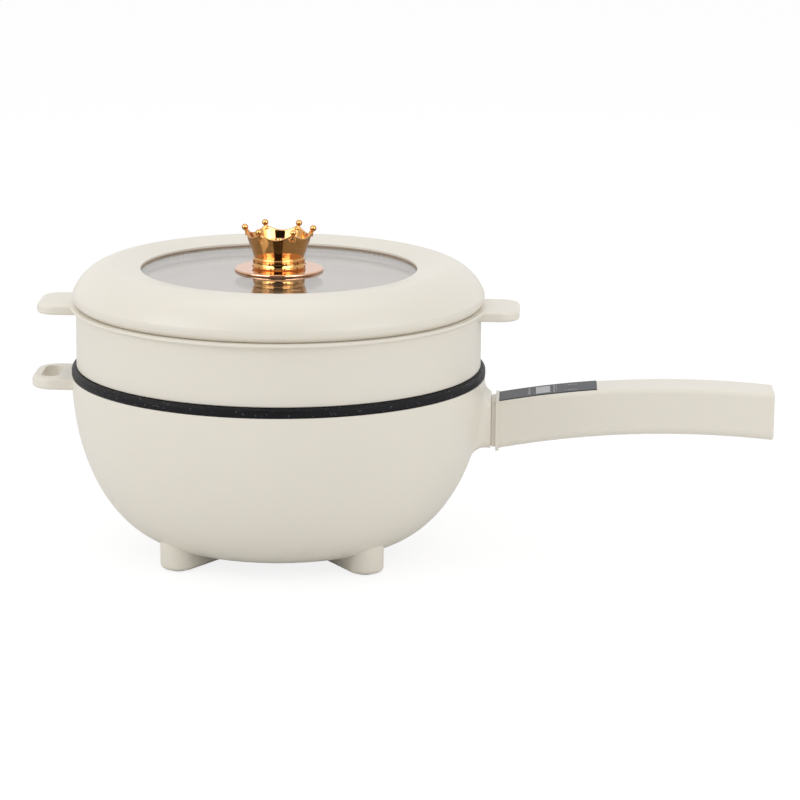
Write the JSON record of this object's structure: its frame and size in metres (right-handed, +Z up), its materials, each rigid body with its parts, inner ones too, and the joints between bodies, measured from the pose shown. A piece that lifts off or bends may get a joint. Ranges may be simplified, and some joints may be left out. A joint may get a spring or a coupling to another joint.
{
  "type": "electric hot pot with lid",
  "caption": "Round-bowled electric hot pot on moulded feet, with a long handle carrying a touch panel, a lift-out steamer basket and a lift-off glass lid with a crown knob.",
  "frame": {"origin": "centre of the footprint's bounding box, on the worktop", "axes": "+X from the pot towards the handle's end, +Z up, so the appliance inlet at the back faces +Y"},
  "size_m": [0.5012, 0.2808, 0.2237],
  "materials": {
    "ivory_plastic": "satin gloss",
    "nonstick_coating": "speckled non-stick coating",
    "cast_aluminium": "as cast",
    "steel": "zinc plated",
    "pad_rubber": "matte",
    "silicone": "matte",
    "fuse_ceramic": "matte",
    "circuit_board": "solder mask",
    "dark_plastic": "matte",
    "pin_brass": "nickel plated",
    "wire_insulation": "silicone sleeve",
    "panel_grey": "satin",
    "lid_glass": "clear tempered",
    "rose_gold": "polished plating"
  },
  "bodies": {
    "cooker": {"outer_shell": "ivory_plastic", "base_cover": "ivory_plastic", "handle_collar": "ivory_plastic", "handle_body": "ivory_plastic", "handle_bottom_cover": "ivory_plastic", "inner_pot": "nonstick_coating", "heating_plate": "cast_aluminium", "heat_shield": "cast_aluminium", "heating_element": "steel", "base_cover_screws": "steel", "pot_fixing_screws": "steel", "thermostat_screws": "steel", "fuse_clip": "steel", "board_screws": "steel", "inlet_screws": "steel", "handle_screws": "steel", "handle_cover_screws": "steel", "control_board_screws": "steel", "touch_springs": "steel", "thermostat": "steel", "foot_pads": "pad_rubber", "thermal_fuse": "fuse_ceramic", "power_board": "circuit_board", "control_board": "circuit_board", "power_relay": "dark_plastic", "terminal_block": "dark_plastic", "power_inlet": "dark_plastic", "buzzer": "dark_plastic", "display_module": "dark_plastic", "inlet_pins": "pin_brass", "mains_leads": "wire_insulation", "earth_lead": "wire_insulation", "element_leads": "wire_insulation", "handle_loom": "wire_insulation", "control_panel": "panel_grey"},
    "steamer": {"steamer_basket": "ivory_plastic"},
    "lid": {"lid_ring": "ivory_plastic", "clamp_ring": "ivory_plastic", "clamp_screws": "steel", "lid_glass": "lid_glass", "glass_gasket": "silicone", "knob_disc": "rose_gold", "crown_knob": "rose_gold", "knob_washer": "silicone", "knob_screw": "steel"}
  },
  "joints": [
    {"name": "basket_lift", "type": "slide", "parent": "cooker", "child": "steamer", "axis": [0, 0, 1], "range_m": [0, 0.12]},
    {"name": "lid_lift", "type": "slide", "parent": "steamer", "child": "lid", "axis": [0, 0, 1], "range_m": [0, 0.1]}
  ]
}
